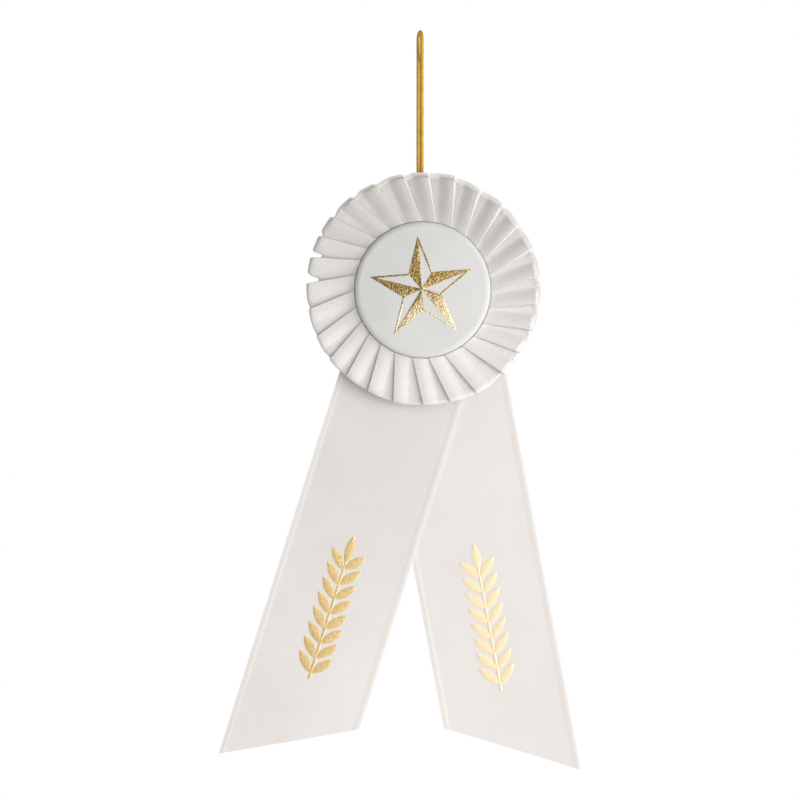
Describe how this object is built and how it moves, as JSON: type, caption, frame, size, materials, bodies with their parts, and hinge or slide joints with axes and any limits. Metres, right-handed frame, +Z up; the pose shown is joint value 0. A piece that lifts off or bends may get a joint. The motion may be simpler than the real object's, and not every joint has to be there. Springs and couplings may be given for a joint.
{
  "type": "award ribbon",
  "caption": "Hanging award ribbon: a pleated satin rosette with a covered button and foil star, two slant-cut satin tails with foil sprays, and a doubled hanging cord.",
  "frame": {"origin": "top of the cord's loop, where a hook or nail carries the ribbon", "axes": "+Z up, -Y towards the viewer of the rosette's face, +X to the right as seen from the front"},
  "size_m": [0.1451, 0.0137, 0.2952],
  "materials": {
    "satin": "white satin ribbon with a woven selvedge",
    "cloth": "matt pale grey-white cloth",
    "foil": "crinkled hot-stamped gold foil",
    "cord": "twisted gold rayon cord",
    "card": "uncoated white card",
    "board": "grey chipboard",
    "tin": "bright tinplate",
    "wire": "galvanised staple wire",
    "thread": "white cotton thread",
    "foam": "white double-sided foam"
  },
  "bodies": {
    "cord_eye": {"cord_loop": "cord"},
    "rosette": {"cord_strand_left": "cord", "cord_strand_right": "cord", "cord_staple": "wire", "event_card": "card", "card_pad_left": "foam", "card_pad_right": "foam", "backing_disc": "board", "pleated_ruffle": "satin", "gathering_thread": "thread", "ruffle_staple_upper": "wire", "ruffle_staple_side": "wire", "ruffle_staple_lower": "wire", "tail_staple_upper": "wire", "tail_staple_lower": "wire", "left_tail_root": "satin", "right_tail_root": "satin", "button_cover": "cloth", "button_shell": "tin", "button_collet": "tin", "prong_clip": "tin", "star_foil": "foil"},
    "left_tail_flap": {"left_tail": "satin", "left_tail_spray": "foil"},
    "right_tail_flap": {"right_tail": "satin", "right_tail_spray": "foil"}
  },
  "joints": [
    {"name": "cord_swing", "type": "hinge", "parent": "cord_eye", "child": "rosette", "pos_m": [0, 0, -0.014], "axis": [1, 0, 0], "range_deg": [-60, 60]},
    {"name": "left_tail_lift", "type": "hinge", "parent": "rosette", "child": "left_tail_flap", "pos_m": [0.001, 0.0054, -0.1514], "axis": [-1, 0, 0], "range_deg": [0, 75]},
    {"name": "right_tail_lift", "type": "hinge", "parent": "rosette", "child": "right_tail_flap", "pos_m": [0.001, 0.0059, -0.1514], "axis": [1, 0, 0], "range_deg": [0, 75]}
  ]
}
